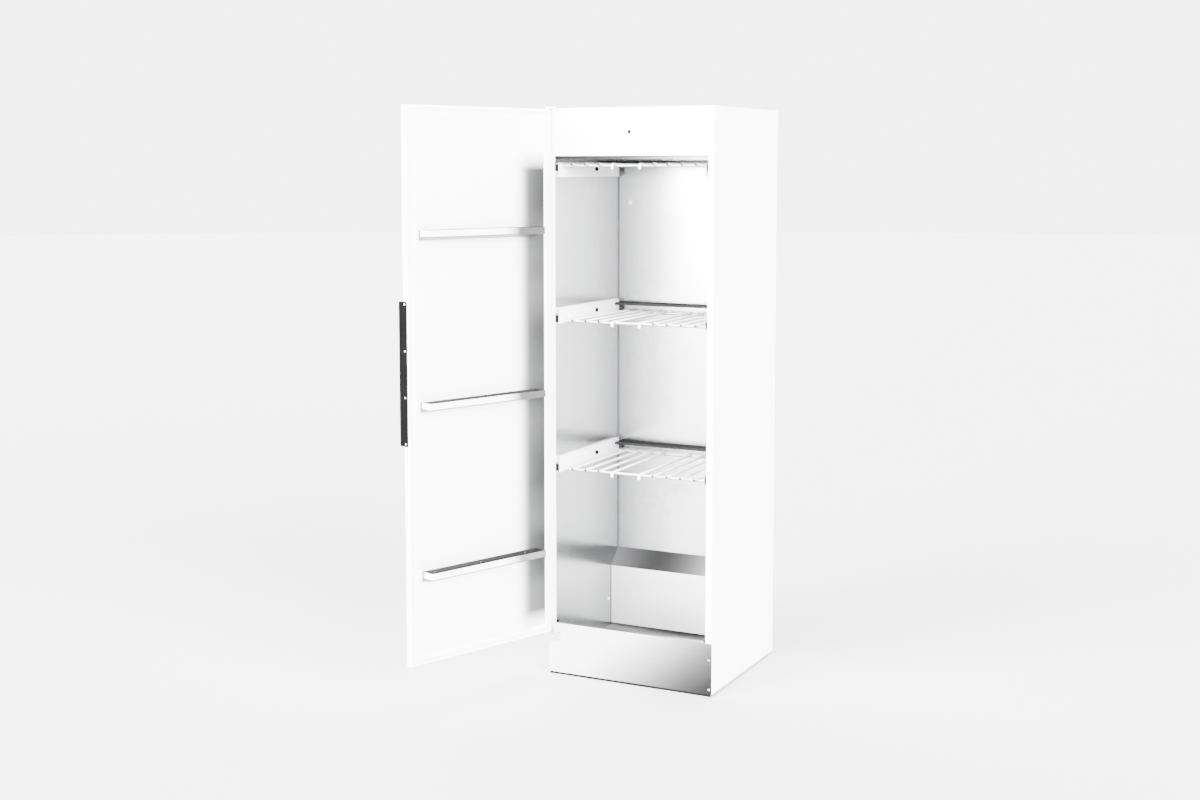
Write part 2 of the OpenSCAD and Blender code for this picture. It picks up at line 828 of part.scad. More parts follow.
// a side rail: it rides on the front roller and carries the rear one on a short axle
module rack_rail(i) {
    level = rack_level(i);
    flange_top = level + flange_z + rail_t;
    low = level - (turned(i) ? rail_far : rail_near);
    high = turned(i) ? flange_top : level + rail_far;
    notch_y = 190;
    notch_l = 40;
    notch_h = 6;
    difference() {
        box([rail_x, rail_front, low], [rail_x + rail_t, rail_rear, high]);
        if (!turned(i))
            box([rail_x - 1, notch_y, high - notch_h], [rail_x + rail_t + 1, notch_y + notch_l, high + 1]);
    }
    box([roller_x0, rail_front, level + flange_z], [rail_x + eps, rail_rear, flange_top]);
    rod_x([roller_x0 - 0.5, rear_roller_y, level - roller_drop], axle_r, rail_x - roller_x0 + 0.5 + eps);
}

module rack_rails(i) {
    color("white") casing() both_sides() rack_rail(i);
}

rail_in = rail_x + rail_t;
bar_rear = 6;
bar_weld = 0.5;
rod_list = [for (k = [0 : rod_places - 1]) if (k != rod_empty) k];
function rod_x_at(k) = fan_x + (k - (rod_places - 1) / 2) * rod_pitch;
function is_hooked(k) = k == rod_empty - 1 || k == rod_empty + 1;

module rack_grid(i) {
    level = rod_level(i);
    color("white") casing() {
        for (k = rod_list) {
            front = is_hooked(k) ? rod_tip + hook_bend : rod_tip;
            difference() {
                rod_y([rod_x_at(k), front, level], rod_r, rod_rear - front);
                if (!is_hooked(k)) rod_y([rod_x_at(k), rod_tip - 1, level], stem_r, stem_l + 1);
            }
            if (is_hooked(k)) {
                translate([rod_x_at(k), front, level - hook_bend]) rotate([90, 0, 90]) rotate([0, 0, 90])
                    rotate_extrude(angle = 90) translate([hook_bend, 0]) circle(rod_r);
                rod_z([rod_x_at(k), rod_tip, level - hook_bend - hook_drop], rod_r, hook_drop);
            }
        }
        for (y = [rod_tip + bar_setback, rod_rear - bar_rear])
            rod_x([rail_in, y, level - bar_r - bar_weld], bar_r, body_w - 2 * rail_in);
    }
}

stem_l = 8;

// black end plugs in the straight rods, and the stop knob on each side rail
module rack_caps(i) {
    head_l = 1.5;
    knob_y = rear_roller_y - 11;
    knob_rise = turned(i) ? -knob_r : knob_r;
    color("black") casing() {
        for (k = rod_list) if (!is_hooked(k)) {
            rod_y([rod_x_at(k), rod_tip - head_l, rod_level(i)], plug_r, head_l);
            rod_y([rod_x_at(k), rod_tip - eps, rod_level(i)], stem_r, stem_l);
        }
        both_sides() rod_x([rail_in, knob_y, rack_level(i) + knob_rise], knob_r, knob_l);
    }
}

// folded rails on the rear lining that keep a pulled-out rack from tipping
module rear_rails() {
    color("dimgray") casing() for (i = LEVELS) {
        z0 = rack_level(i) + hold_rise;
        z1 = z0 + hold_h;
        x0 = rail_in + 3;
        box([x0, liner_y - hold_d, z1 - rail_t], [body_w - x0, liner_y, z1]);
        box([x0, liner_y - hold_d, z0], [body_w - x0, liner_y - hold_d + rail_t, z1]);
        box([x0, liner_y - rail_t, z0], [body_w - x0, liner_y, z1]);
    }
}

// ---- fan unit ----

outlet_x0 = fan_x + fan_r - outlet_w;
outlet_x1 = fan_x + fan_r;
fan_top = fan_floor + fan_h;
heater_y = fan_y + fan_r + 50;

module scroll(low, high, wall, rear) {
    translate([0, 0, low]) linear_extrude(high - low) {
        translate([fan_x, fan_y]) circle(r = fan_r - wall);
        translate([outlet_x0 + wall, fan_y])
            square([outlet_w - 2 * wall, rear - fan_y - wall]);
    }
}

module fan_housing() {
    color("silver") casing() difference() {
        scroll(fan_floor, fan_top, 0, back_y);
        scroll(fan_floor + fan_wall, fan_top - fan_wall, fan_wall, back_y);
        rod_z([fan_x, fan_y, fan_floor - 1], inlet_r, fan_wall + 2);
        rod_z([fan_x, fan_y, fan_top - fan_wall - 1], shaft_r + 6, fan_wall + 2);
        box([outlet_x0 + fan_wall, liner_y + liner_t + 1, fan_floor - 1],
            [outlet_x1 - fan_wall, back_y - fan_wall, fan_floor + fan_wall + 1]);
        for (z = heater_heights) rod_x([outlet_x0 - 1, heater_y, z], heater_r, outlet_w + 2);
    }
}

heater_rise = 22;
heater_pitch = 24;
heater_heights = [for (k = [0 : 2]) fan_floor + heater_rise + heater_pitch * k];

module heater_element() {
    cap_w = 6;
    cap_half = 10;
    fin_r = 9;
    fin_t = 0.8;
    fins = 12;
    low = heater_heights[0] - cap_half;
    high = heater_heights[2] + cap_half;
    color("darkgray") casing() {
        for (z = heater_heights) {
            rod_x([outlet_x0 - cap_w, heater_y, z], heater_r, outlet_w + 2 * cap_w);
            for (k = [1 : fins]) rod_x([outlet_x0 + k * outlet_w / (fins + 1), heater_y, z], fin_r, fin_t);
        }
        box([outlet_x0 - 2 * cap_w, heater_y - cap_half, low],
            [outlet_x0 - cap_w + eps, heater_y + cap_half, high]);
        box([outlet_x1 + cap_w - eps, heater_y - cap_half, low],
            [outlet_x1 + 2 * cap_w, heater_y + cap_half, high]);
    }
}

module fan_motor() {
    flange = 12;
    flange_t = 3;
    color("dimgray") casing() difference() {
        union() {
            rod_z([fan_x, fan_y, fan_top], motor_r, motor_h);
            rod_z([fan_x, fan_y, fan_top], motor_r + flange, flange_t);
        }
        rod_z([fan_x, fan_y, fan_top - 1], shaft_r + run_gap, motor_h + 2);
    }
}

module impeller() {
    hub_r = 14;
    hub_l = 22;
    disc_t = 2;
    blade_t = 1.6;
    wheel_z = fan_floor + fan_wall + 8;
    disc_z = wheel_z + blade_h;
    color("black") casing() translate([fan_x, fan_y, 0]) {
        translate([0, 0, disc_z]) cylinder(r = wheel_r, h = disc_t);
        translate([0, 0, disc_z - hub_l]) cylinder(r = hub_r, h = hub_l + eps);
        translate([0, 0, disc_z]) cylinder(r = shaft_r, h = fan_top + motor_h - 4 - disc_z);
        for (k = [0 : blades - 1]) rotate([0, 0, k * 360 / blades])
            translate([wheel_r - blade_l - 1, -blade_t / 2, wheel_z])
                cube([blade_l, blade_t, blade_h + eps]);
    }
}

module overheat_thermostat() {
    place = [outlet_x0 + outlet_w / 2, heater_y + 45, fan_top];
    flange_r = 12;
    flange_t = 3;
    body_r = 8;
    color("saddlebrown") casing() {
        rod_z(place, flange_r, flange_t);
        rod_z(place + [0, 0, flange_t - eps], body_r, 8);
    }
}

// ---- controls and connections ----

bezel_r = button_r + 0.8;
bezel_l = 12;
button_l = 13;
button_proud = 0.5;
box_y = button_l + button_travel + 1;

module button_bezel() {
    rim_t = 0.6;
    color("dimgray") casing() difference() {
        union() {
            rod_y([fan_x, -rim_t, button_z], bezel_r + 1, rim_t);
            rod_y([fan_x, -eps, button_z], bezel_r, bezel_l);
        }
        rod_y([fan_x, -rim_t - 1, button_z], button_r + run_gap, bezel_l + 3);
    }
}

module start_button() {
    color("black") casing() rod_y([fan_x, -button_proud, button_z], button_r, button_l);
}

// the switch and timer housing, clipped to the top panel behind the fascia
module control_box() {
    half_w = 60;
    box_d = 70;
    wall = 3;
    low = button_z - 25;
    high = body_h - sheet_t;
    color("gray") casing() difference() {
        box([fan_x - half_w, box_y, low], [fan_x + half_w, box_y + box_d, high]);
        box([fan_x - half_w + wall, box_y + wall, low + wall],
            [fan_x + half_w - wall, box_y + box_d - wall, high - wall]);
    }
}

module exhaust_collar() {
    flange = 12;
    color("silver") casing() difference() {
        union() {
            rod_z([fan_x, exhaust_y, body_h - collar_down], exhaust_r + sheet_t, collar_down + collar_up);
            rod_z([fan_x, exhaust_y, body_h], exhaust_r + flange, sheet_t);
        }
        rod_z([fan_x, exhaust_y, body_h - collar_down - 1], exhaust_r, collar_down + collar_up + 2);
    }
}

gland_body_r = gland_r + 4;

module cable_gland() {
    above = 10;
    below = 12;
    nut_h = 5;
    color("dimgray") casing() difference() {
        union() {
            rod_z([gland_x, gland_y, body_h - below], gland_body_r, above + below);
            for (z = [body_h, body_h - sheet_t - nut_h])
                translate([gland_x, gland_y, z]) cylinder(r = gland_body_r + 3, h = nut_h, $fn = 6);
        }
        rod_z([gland_x, gland_y, body_h - below - 1], gland_r, above + below + 2);
    }
}

module terminal_block() {
    poles = 3;
    pole_w = 10;
    block_x = gland_x + 20;
    block_d = 25;
    block_h = 16;
    hole_r = 2.5;
    high = body_h - sheet_t;
    color("ivory") casing() difference() {
        box([block_x, gland_y - block_d, high - block_h], [block_x + poles * pole_w, gland_y, high]);
        for (k = [0 : poles - 1])
            rod_y([block_x + (k + 0.5) * pole_w, gland_y - block_d - 1, high - block_h / 2], hole_r,
                block_d + 2);
    }
}

left_side_panel();
right_side_panel();
top_panel();
back_panel();
base_tray();
fascia();
plinth_panel();
liner_left();
liner_right();
liner_back();
liner_ceiling();
floor_tray();
lower_duct_cover();
rear_duct_walls();
adjustable_feet();
casing_screws();
lower_hinge_bracket();
upper_hinge_bracket();
wall_runners();
runner_end_caps();
rear_rails();
fixing_plugs();
ceiling_grille();
fan_housing();
fan_motor();
heater_element();
overheat_thermostat();
control_box();
button_bezel();
start_button();
exhaust_collar();
cable_gland();
terminal_block();
impeller();
door_pan();
door_liner();
door_core();
door_gasket();
door_bushes();
door_handle();
handle_screws();
trough(LOW);  // trough_low
trough(MID);  // trough_mid
trough(TOP);  // trough_top
trough_rivets();
rack_grid(LOW);  // rack_grid_low
rack_grid(MID);  // rack_grid_mid
rack_grid(TOP);  // rack_grid_top
rack_rails(LOW);  // rack_rails_low
rack_rails(MID);  // rack_rails_mid
rack_rails(TOP);  // rack_rails_top
rack_caps(LOW);  // rack_caps_low
rack_caps(MID);  // rack_caps_mid
rack_caps(TOP);  // rack_caps_top
front_rollers(LOW);  // front_rollers_low
front_rollers(MID);  // front_rollers_mid
front_rollers(TOP);  // front_rollers_top
rear_rollers(LOW);  // rear_rollers_low
rear_rollers(MID);  // rear_rollers_mid
rear_rollers(TOP);  // rear_rollers_top
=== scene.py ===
import json
import math

import bmesh
import bpy
from mathutils import Matrix, Vector


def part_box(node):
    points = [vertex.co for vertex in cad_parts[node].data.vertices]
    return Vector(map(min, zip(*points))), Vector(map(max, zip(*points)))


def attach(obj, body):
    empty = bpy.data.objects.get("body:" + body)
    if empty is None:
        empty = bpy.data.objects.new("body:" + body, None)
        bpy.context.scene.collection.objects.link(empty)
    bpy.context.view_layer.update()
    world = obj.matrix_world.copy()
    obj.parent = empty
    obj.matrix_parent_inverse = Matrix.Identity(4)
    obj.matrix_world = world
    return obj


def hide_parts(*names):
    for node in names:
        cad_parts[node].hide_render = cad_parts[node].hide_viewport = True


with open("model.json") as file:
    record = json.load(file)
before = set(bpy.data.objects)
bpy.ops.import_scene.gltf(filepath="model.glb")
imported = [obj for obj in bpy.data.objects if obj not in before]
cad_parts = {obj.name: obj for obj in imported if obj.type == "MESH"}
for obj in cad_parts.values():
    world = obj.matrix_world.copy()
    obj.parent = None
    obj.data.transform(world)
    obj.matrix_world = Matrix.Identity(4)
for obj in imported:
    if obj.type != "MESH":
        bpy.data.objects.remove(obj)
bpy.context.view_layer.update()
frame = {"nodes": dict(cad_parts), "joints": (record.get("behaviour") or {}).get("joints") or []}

nodes = frame["nodes"]

# ---- sizes in metres, in the casing's coordinates: X from its left side, Y from its front ----

back, plinth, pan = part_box("back_panel"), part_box("plinth_panel"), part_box("door_pan")
BODY_W = back[1].x - back[0].x
BODY_D = back[1].y - plinth[0].y
BODY_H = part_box("top_panel")[1].z
CORNER = Vector((back[0].x, plinth[0].y, 0.0))
TO_FRAME = Matrix.Translation(CORNER)
SHEET = 0.001

# the opening and the cavity
JAMB_W = 0.022
PLINTH_TOP = plinth[1].z
FASCIA_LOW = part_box("fascia")[0].z
CEILING_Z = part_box("liner_ceiling")[0].z
LINER_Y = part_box("liner_back")[0].y - CORNER.y
COVER_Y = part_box("lower_duct_cover")[0].y - CORNER.y
COVER_LOW, COVER_EDGE, COVER_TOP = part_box("lower_duct_cover")[0].z, 0.280, 0.337

# the racks, and the height of their runners' axles
RACKS = ("low", "mid", "top")
ROLLER_DROP = 0.0015
LEVELS = [sum(c.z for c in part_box("front_rollers_" + r)) / 2 + ROLLER_DROP for r in RACKS]

# the door, as it lies when it is shut
DOOR_X0, DOOR_W = -0.001, 0.5935
DOOR_X1 = DOOR_X0 + DOOR_W
DOOR_LOW, DOOR_IN = pan[0].z, -0.002
HANDLE_LOW, HANDLE_L, HANDLE_T = 0.847, 0.450, 0.003

# its hinge: one matrix takes what is built on the shut door to the open one
swing = next(j for j in frame["joints"] if j["name"] == "door_hinge")
HINGE = Vector((swing["pos_m"][0], swing["pos_m"][1], 0.0)) - CORNER
DOOR_OPEN = math.radians(swing["range_deg"][1])
TO_OPEN = (TO_FRAME @ Matrix.Translation(HINGE) @ Matrix.Rotation(-DOOR_OPEN, 4, "Z")
           @ Matrix.Translation(-HINGE))
DOOR_NORMAL = Vector((math.sin(DOOR_OPEN), math.cos(DOOR_OPEN), 0.0))
DOOR_WAY = Vector((math.cos(DOOR_OPEN), -math.sin(DOOR_OPEN), 0.0))

# the troughs; from the hinge the panel is measured along the normal, the ends along the door
TROUGH_START, TROUGH_L, TROUGH_D, TROUGH_H, TROUGH_LIP = 0.069, 0.475, 0.052, 0.032, 0.022
TROUGH_TOPS = [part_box("trough_" + r)[1].z for r in RACKS]
HINGE_TO_PANEL = DOOR_IN - SHEET - HINGE.y
HINGE_TO_TROUGH = DOOR_X0 + TROUGH_START - HINGE.x
HINGE_TO_END = HINGE_TO_TROUGH + TROUGH_L


# ---- shader helpers ----

# the sockets of a mix node by the kind of what it mixes: both inputs and the output
MIX_SOCKETS = {"RGBA": (6, 7, 2), "VECTOR": (4, 5, 1)}


class Shade:
    """A node material: nearly every call adds a node and returns its output socket."""

    def __init__(self, name):
        self.m = bpy.data.materials.new(name)
        self.m.use_nodes = True
        self.t = self.m.node_tree
        self.p = next(n for n in self.t.nodes if n.type == "BSDF_PRINCIPLED")
        self.coords = self.add("ShaderNodeTexCoord").outputs["Object"]

    def put(self, socket, value):
        """Links another socket to this one, or sets its constant."""
        if isinstance(value, bpy.types.NodeSocket):
            self.t.links.new(value, socket)
        else:
            socket.default_value = value

    def fill(self, node, inputs):
        for name, value in inputs.items():
            self.put(node.inputs[name.replace("_", " ")], value)

    def add(self, kind, **inputs):
        """A new node; in the name of an input, _ stands for a space."""
        node = self.t.nodes.new(kind)
        self.fill(node, inputs)
        return node

    def set(self, **inputs):
        """Fills the inputs of the surface itself."""
        self.fill(self.p, inputs)

    def along(self, axis, vector=None):
        """One part of a vector, "X", "Y" or "Z": of the place in the frame by default."""
        return self.add("ShaderNodeSeparateXYZ", Vector=vector or self.coords).outputs[axis]

    def across(self, left=0.0, right=1.0):
        """A value that runs from the casing's left side to its right side."""
        return self.ramp(self.along("X"), left, right, -BODY_W / 2, BODY_W / 2)

    def radius(self, centre):
        """The distance from an upright line through a point of the frame."""
        dx = self.math("SUBTRACT", self.along("X"), centre.x)
        dy = self.math("SUBTRACT", self.along("Y"), centre.y)
        squares = self.math("MULTIPLY", dx, dx), self.math("MULTIPLY", dy, dy)
        return self.math("SQRT", self.math("ADD", *squares))

    def distance(self, start, direction):
        """The distance from a point of the frame, measured along a direction."""
        n = self.add("ShaderNodeVectorMath")
        n.operation = "DOT_PRODUCT"
        self.put(n.inputs[0], self.coords)
        self.put(n.inputs[1], direction)
        return self.math("SUBTRACT", n.outputs["Value"], start.dot(direction))

    def stops(self, fac, *points):
        """A grey that runs smoothly through (place, value) points."""
        n = self.add("ShaderNodeValToRGB", Fac=fac)
        bar = n.color_ramp
        bar.interpolation = "B_SPLINE"
        while len(bar.elements) < len(points):
            bar.elements.new(0.5)
        for e, (place, value) in zip(bar.elements, points):
            e.position = place
            e.color = (value, value, value * 1.01, 1.0)
        return n.outputs["Color"]

    def scaled(self, x, y, z):
        """The place in the frame, with each axis stretched by its own factor."""
        return self.add("ShaderNodeMapping", Vector=self.coords, Scale=(x, y, z)).outputs["Vector"]

    def noise(self, scale, detail=2.0, rough=0.5, vector=None, out="Fac"):
        """A noise over the frame, or over another vector, as a value or as a "Color"."""
        n = self.add("ShaderNodeTexNoise", Vector=vector or self.coords, Scale=scale,
                     Detail=detail, Roughness=rough)
        return n.outputs[out]

    def cells(self, scale, vector):
        """A random tone for each cell of a net of irregular cells."""
        n = self.add("ShaderNodeTexVoronoi", Vector=vector, Scale=scale)
        return self.grey(n.outputs["Color"])

    def grey(self, colour):
        return self.add("ShaderNodeSeparateColor", Color=colour).outputs["Red"]

    def ramp(self, fac, a, b, x0, x1):
        """A value that goes from a to b while fac goes from x0 to x1, and stays there."""
        n = self.add("ShaderNodeMapRange", Value=fac, From_Min=x0, From_Max=x1, To_Min=a, To_Max=b)
        return n.outputs["Result"]

    def rise(self, fac, start, end):
        return self.ramp(fac, 0.0, 1.0, start, end)

    def fall(self, fac, start, end):
        return self.ramp(fac, 1.0, 0.0, start, end)

    def middle(self, noise, a=0.0, b=1.0):
        """From a to b over the middle of a noise, where most of its values lie."""
        return self.ramp(noise, a, b, 0.3, 0.7)

    def mix(self, fac, a, b, mode="MIX", kind="RGBA"):
        n = self.add("ShaderNodeMix")
        n.data_type, n.blend_type = kind, mode
        first, second, out = MIX_SOCKETS[kind]
        self.put(n.inputs[0], fac)
        for i, v in ((first, a), (second, b)):
            self.put(n.inputs[i], v if isinstance(v, bpy.types.NodeSocket) else (*v, 1.0))
        return n.outputs[out]

    def math(self, op, a, b=0.5):
        n = self.add("ShaderNodeMath")
        n.operation = op
        self.put(n.inputs[0], a)
        self.put(n.inputs[1], b)
        return n.outputs[0]

    def blend(self, a, b, share):
        """A share of a, and the rest of b."""
        return self.math("ADD", self.math("MULTIPLY", a, share),
                         self.math("MULTIPLY", b, 1.0 - share))

    def product(self, first, *others):
        for value in others:
            first = self.math("MULTIPLY", first, value)
        return first

    def bump(self, height, strength, distance, **before):
        """A relief; before is Normal=..., the relief that it lies on."""
        return self.add("ShaderNodeBump", Height=height, Strength=strength, Distance=distance,
                        **before).outputs["Normal"]

    def colour(self, tone, a, b, shade=None):
        """The base colour, from a to b by tone, times a painted light and shade that depends on
        the place.
        """
        colour = self.mix(tone, a, b)
        if shade is not None:
            colour = self.mix(1.0, colour, shade(self), "MULTIPLY")
        self.set(Base_Color=colour)


# ---- kinds of material; rough is the least and the greatest roughness, shade is painted light and shade ----

def powder_coat(name, light, dark, rough=(0.30, 0.40), peel=0.35, grain=1100, gloss=0.5,
                shade=None):
    """Baked powder paint: orange peel, a faint cloudiness and a slightly uneven gloss."""
    s = Shade(name)
    s.colour(s.middle(s.noise(5.0, 4.0, 0.6)), light, dark, shade)
    s.set(Roughness=s.middle(s.noise(38.0, 3.0, 0.6), *rough), IOR=1.5, Specular_IOR_Level=gloss)
    speck = s.bump(s.noise(grain * 3.1, 1.0, 0.5), peel * 0.6, 0.00002)
    s.set(Normal=s.bump(s.noise(grain, 2.0, 0.55), peel, 0.00006, Normal=speck))
    return s.m


def spangled(name, light, dark, size, rough, metal=1.0, rolling=0.05, gloss=0.5, shade=None):
    """Hot-dip metal sheet: crystals that differ a little in tone and gloss, and rolling lines."""
    s = Shade(name)
    warped = s.mix(0.012, s.coords, s.noise(40.0, out="Color"), kind="VECTOR")
    big = s.cells(1.0 / size, warped)
    tone = s.blend(big, s.cells(5.2 / size, warped), 0.6)
    lines = s.noise(1.0, 3.0, 0.6, vector=s.scaled(18.0, 18.0, 900.0))
    s.colour(tone, dark, light, shade)
    s.set(Metallic=metal, Specular_IOR_Level=gloss)
    s.set(Roughness=s.ramp(s.blend(tone, lines, 0.75), *rough, 0.15, 0.85))
    s.set(Normal=s.bump(lines, rolling, 0.00005, Normal=s.bump(big, 0.06, 0.00004)))
    return s.m


def brushed(name, light, dark, grain, rough, shade):
    """Satin steel: long fine scratches along one direction, with slow changes of tone."""
    s = Shade(name)
    scratch = s.noise(1.0, 4.0, 0.65, vector=s.scaled(*grain))
    broad = s.noise(1.0, 2.0, 0.5, vector=s.scaled(*[g * 0.13 for g in grain]))
    s.colour(s.middle(s.blend(scratch, broad, 0.55)), dark, light, shade)
    s.set(Metallic=1.0)
    s.set(Roughness=s.middle(s.blend(scratch, s.noise(4.0, 3.0, 0.5), 0.6), *rough))
    s.set(Normal=s.bump(scratch, 0.22, 0.00003))
    return s.m


def moulded(name, light, dark, rough=(0.42, 0.58), grain=1500, strength=0.3, gloss=0.5):
    """Moulded plastic: spark-eroded grain, scuffs and a cloudy gloss."""
    s = Shade(name)
    scuff = s.noise(1.0, 4.0, 0.7, vector=s.scaled(60.0, 60.0, 260.0))
    cloud = s.noise(22.0, 4.0, 0.6)
    s.colour(s.middle(cloud), dark, light)
    s.set(Specular_IOR_Level=gloss)
    s.set(Roughness=s.ramp(s.blend(cloud, scuff, 0.5), *rough, 0.35, 0.65))
    s.set(Normal=s.bump(s.noise(grain, 3.0, 0.7), strength, 0.00004))
    return s.m


def plated(name, light, dark, rough=(0.18, 0.36)):
    """Plating: bright, with passivation clouds and small tool marks."""
    s = Shade(name)
    cloud = s.noise(130.0, 4.0, 0.65)
    s.colour(s.middle(cloud), dark, light)
    s.set(Metallic=1.0, Roughness=s.middle(cloud, *rough))
    s.set(Normal=s.bump(s.noise(900.0, 2.0, 0.6), 0.2, 0.00003))
    return s.m


def fibre(name, light, dark):
    """Loose mineral fibre for the insulation inside the door."""
    s = Shade(name)
    strands = s.noise(1.0, 5.0, 0.7, vector=s.scaled(240.0, 900.0, 240.0))
    lumps = s.bump(s.noise(60.0, 4.0, 0.6), 0.6, 0.002)
    s.colour(s.middle(strands), dark, light)
    s.set(Roughness=0.95, Normal=s.bump(strands, 0.8, 0.0006, Normal=lumps))
    return s.m


# ---- painted light and shade: how much darker or brighter a material is painted from place to place ----

CLEAR = (1.0, 1.0, 1.0)

# how far the painted light round the cavity's left rear corner and the painted shade round the
# hinge reach
CORNER_REACH, HINGE_REACH = 0.60, 0.16

# on a trough: where the painted shade at the end by the hinge fades, the band of painted shadow
# over its lip's foot, where the painted shadow line on its far end fades, and what a painted shade
# leaves free beyond a sheet's face
HINGE_SHADE_FADE, FOOT_SHADE_BAND, TIP_SHADE_FADE = (0.17, 0.24), (-0.0034, -0.0026), (0.007, 0.009)
FACE_FREE, FACE_FULL, TROUGH_FREE = 0.0003, 0.0006, 0.0001


def plinth_painted_reflection(s):
    """Painted reflection: the steel is painted darker from its upper left corner to its lower
    right one, and painted shade darkens the faces behind its front.
    """
    down = s.ramp(s.along("Z"), 0.26, 0.0, 0.0, PLINTH_TOP)
    face = s.stops(s.math("ADD", s.across(0.0, 0.74), down), (0.0, 1.0), (0.36, 0.94),
                   (0.52, 0.46), (0.70, 0.13), (0.88, 0.028), (1.0, 0.020))
    behind = s.rise(s.along("Y"), CORNER.y + 0.0009, CORNER.y + 0.0022)
    return s.mix(behind, face, (0.07, 0.07, 0.071))


def cover_painted_shade(s):
    """Painted shade: the slope of the duct cover is painted dark on the left, lightening to the
    right, and its upright face stays bright.
    """
    dark = s.stops(s.across(), (0.0, 0.24), (0.22, 0.025), (0.42, 0.025), (0.62, 0.15),
                   (0.80, 0.60), (1.0, 0.85))
    slope = s.rise(s.along("Z"), COVER_EDGE - 0.0008, COVER_EDGE + 0.0002)
    return s.mix(slope, CLEAR, dark)


def underside_painted_shade(s):
    """Painted shade: faces that look down are painted greyer than those that look up."""
    up = s.along("Z", s.add("ShaderNodeNewGeometry").outputs["Normal"])
    return s.stops(s.rise(up, -1.0, 1.0), (0.0, 0.06), (0.38, 0.20), (0.47, 1.0))


def lining_painted_light(s):
    """Painted shade in the lining's left rear corner, and a painted reflection that makes it
    brighter further from that corner.
    """
    away = s.radius(CORNER + Vector((JAMB_W, LINER_Y, 0.0)))
    return s.stops(s.rise(away, 0.0, CORNER_REACH), (0.0, 0.56), (0.12, 0.69), (0.30, 0.90),
                   (0.55, 1.18), (0.8, 1.36), (1.0, 1.40))


def floor_painted_shade(s):
    """Painted shade: the cavity's floor is painted darkest in its middle."""
    return s.stops(s.across(), (0.0, 0.32), (0.2, 0.20), (0.40, 0.07), (0.70, 0.07),
                   (0.85, 0.20), (1.0, 0.80))


def head_painted_shade(s):
    """Painted shade: the head of the opening is painted dark on the left and bright on the right.
    """
    return s.stops(s.across(), (0.0, 0.03), (0.45, 0.04), (0.70, 0.30), (0.90, 1.0))


def rail_painted_highlight(s):
    """Painted highlight: the uppermost rear rail is painted brighter towards the right."""
    high = s.rise(s.along("Z"), LEVELS[-1] - 0.06, LEVELS[-1] - 0.05)
    right = s.ramp(s.along("X"), 0.0, 14.0, -0.05, 0.24)
    return s.math("ADD", 1.0, s.product(high, right))


def hinge_painted_shade(s):
    """Painted shade: the door's lining is painted dark near its hinge, between the top and the
    foot of the opening.
    """
    foot = s.rise(s.along("Z"), PLINTH_TOP - 0.01, PLINTH_TOP + 0.06)
    head = s.fall(s.along("Z"), LEVELS[-1] - 0.01, LEVELS[-1] + 0.05)
    uneven = s.noise(1.0, 1.0, 0.4, vector=s.scaled(0.5, 0.5, 5.0))
    near = s.stops(s.rise(s.radius(HINGE + CORNER), 0.0, HINGE_REACH), (0.0, 1.0),
                   (0.54, 1.0), (0.67, 0.80), (0.78, 0.34), (0.92, 0.0))
    amount = s.product(s.grey(near), s.ramp(uneven, 0.95, 1.0, 0.35, 0.60), foot, head)
    return s.mix(amount, CLEAR, (0.015, 0.015, 0.0155))


def past(face):
    """Where a painted shade begins beyond a sheet's face, and where it is full."""
    return face + FACE_FREE, face + FACE_FULL


def trough_painted_shade(top, near_hinge_shade, lip_foot_shade):
    """A trough is painted dark inside as shade; its front has painted shade at the end by the
    hinge and along its lower edge, and a painted shadow line at its far end.

    top is the trough's upper edge; near_hinge_shade and lip_foot_shade say how dark those two
    painted shades are.
    """
    def shade(s):
        out = s.distance(HINGE + CORNER, DOOR_NORMAL)
        along = s.distance(HINGE + CORNER, DOOR_WAY)
        under = s.math("SUBTRACT", top, s.along("Z"))
        front = HINGE_TO_PANEL + TROUGH_D
        end = HINGE_TO_END - SHEET
        slope = s.ramp(out, TROUGH_H, TROUGH_LIP, HINGE_TO_PANEL + SHEET, front)
        inside = s.product(s.ramp(along, 1.0, 0.975, 0.10, end),
                           s.fall(out, *past(front - SHEET)),
                           s.fall(along, *past(end)),
                           s.rise(along, *past(HINGE_TO_TROUGH + TROUGH_FREE)),
                           s.rise(s.math("SUBTRACT", slope, under), *past(0.0)))
        edge = s.ramp(under, 0.0, lip_foot_shade, *(TROUGH_LIP + d for d in FOOT_SHADE_BAND))
        near = s.ramp(along, near_hinge_shade, 0.0, *HINGE_SHADE_FADE)
        tip = s.product(s.ramp(along, 0.0, 0.9, *past(end)),
                        s.fall(out, *(HINGE_TO_PANEL + d for d in TIP_SHADE_FADE)))
        amount = inside
        for other in (edge, near, tip):
            amount = s.math("MAXIMUM", amount, other)
        return s.mix(amount, CLEAR, (0.022, 0.022, 0.023))
    return shade


# ---- materials ----

WHITE = powder_coat("white_enamel", (0.93, 0.93, 0.925), (0.905, 0.905, 0.90))
# the racks' enamel has painted shade on faces that look down
RACK_WHITE = powder_coat("rack_enamel", (0.95, 0.95, 0.945), (0.925, 0.925, 0.92),
                         rough=(0.28, 0.42), grain=1700, shade=underside_painted_shade)
# the coat of the dark strip that stands in for shade under the fascia, with painted shade
HEAD_SHADOW_STRIP = powder_coat("head_strip_coat", (0.55, 0.55, 0.555), (0.50, 0.50, 0.505), peel=0.6,
                         gloss=0.0, shade=head_painted_shade)
HANDLE = powder_coat("handle_coat", (0.0050, 0.0050, 0.0052), (0.0035, 0.0035, 0.0037),
                     rough=(0.55, 0.68), peel=0.9, grain=1600, gloss=0.0)
# the rear rails' coat has a painted highlight on the uppermost rail towards the right
DARK = powder_coat("dark_coat", (0.030, 0.030, 0.031), (0.020, 0.020, 0.021),
                   rough=(0.40, 0.54), peel=0.6, gloss=0.0, shade=rail_painted_highlight)
MOTOR = powder_coat("motor_paint", (0.05, 0.05, 0.052), (0.03, 0.03, 0.032), rough=(0.35, 0.5))
